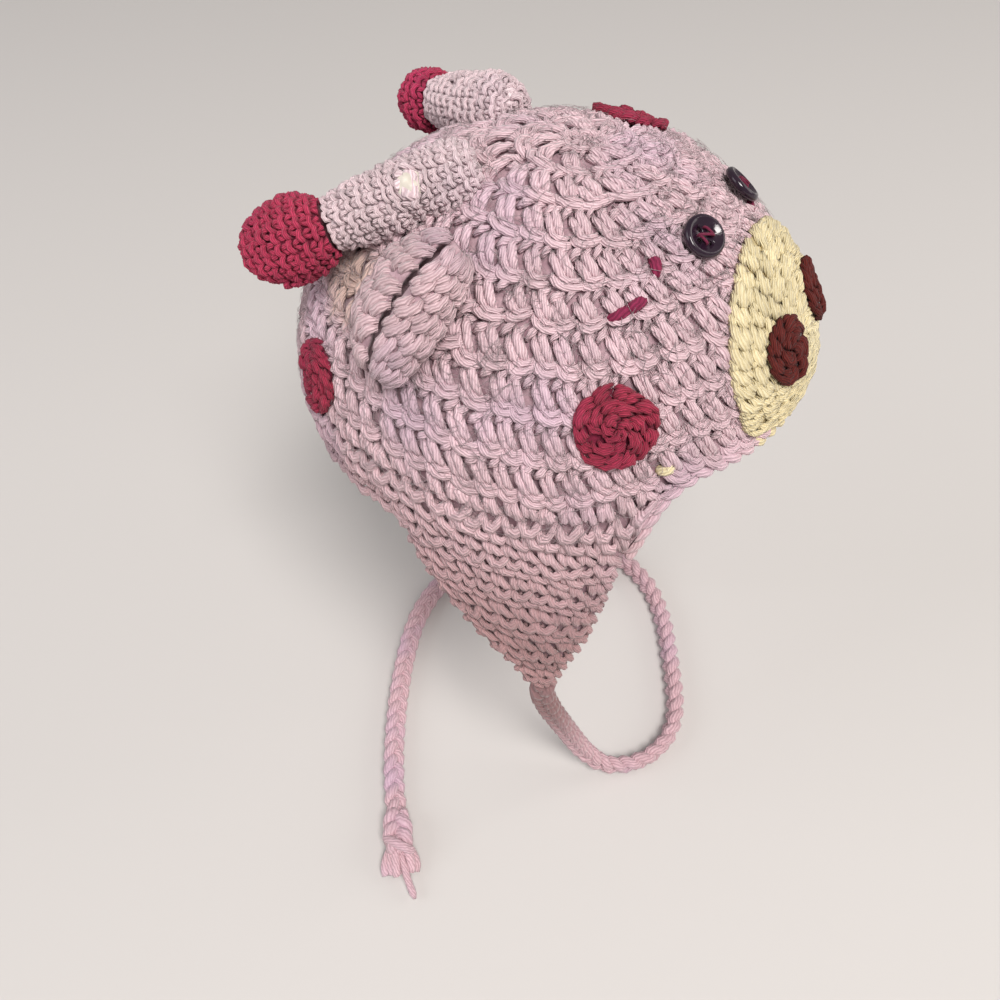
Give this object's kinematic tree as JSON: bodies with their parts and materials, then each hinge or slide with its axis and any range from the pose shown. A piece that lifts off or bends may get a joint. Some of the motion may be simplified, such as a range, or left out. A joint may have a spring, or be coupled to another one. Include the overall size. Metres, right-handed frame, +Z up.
{
  "type": "crocheted animal hat with ear flaps and braided ties",
  "caption": "Child's crocheted hat with ear flaps, braided ties, stuffed horns, folded ears, button eyes, a muzzle and round patches, held as worn.",
  "frame": {"origin": "inside top of the crown, where the wearer's head carries the hat", "axes": "+Z up; the hat faces -Y and the wearer's left side is +X"},
  "size_m": [0.2214, 0.1768, 0.28],
  "materials": {
    "lilac_wool": "soft lilac worsted yarn with a slight sheen",
    "plum_wool": "plum worsted yarn",
    "cream_wool": "pale cream worsted yarn",
    "maroon_wool": "dark maroon worsted yarn",
    "dark_button": "glossy dark plum moulded plastic"
  },
  "bodies": {
    "root": {"crown": "lilac_wool", "rim_edging": "lilac_wool", "ear_flap_left": "lilac_wool", "ear_flap_right": "lilac_wool", "ear_left": "lilac_wool", "ear_right": "lilac_wool", "horn_stem_left": "lilac_wool", "horn_stem_right": "lilac_wool", "tie_left": "lilac_wool", "tie_right": "lilac_wool", "tie_knot_left": "lilac_wool", "tie_knot_right": "lilac_wool", "tie_tassel_left": "lilac_wool", "tie_tassel_right": "lilac_wool", "horn_tip_left": "plum_wool", "horn_tip_right": "plum_wool", "spot_right_side": "plum_wool", "spot_back": "plum_wool", "spot_left_top": "plum_wool", "muzzle": "cream_wool", "nostril_left": "maroon_wool", "nostril_right": "maroon_wool", "button_eye_left": "dark_button", "button_eye_right": "dark_button"}
  },
  "joints": []
}
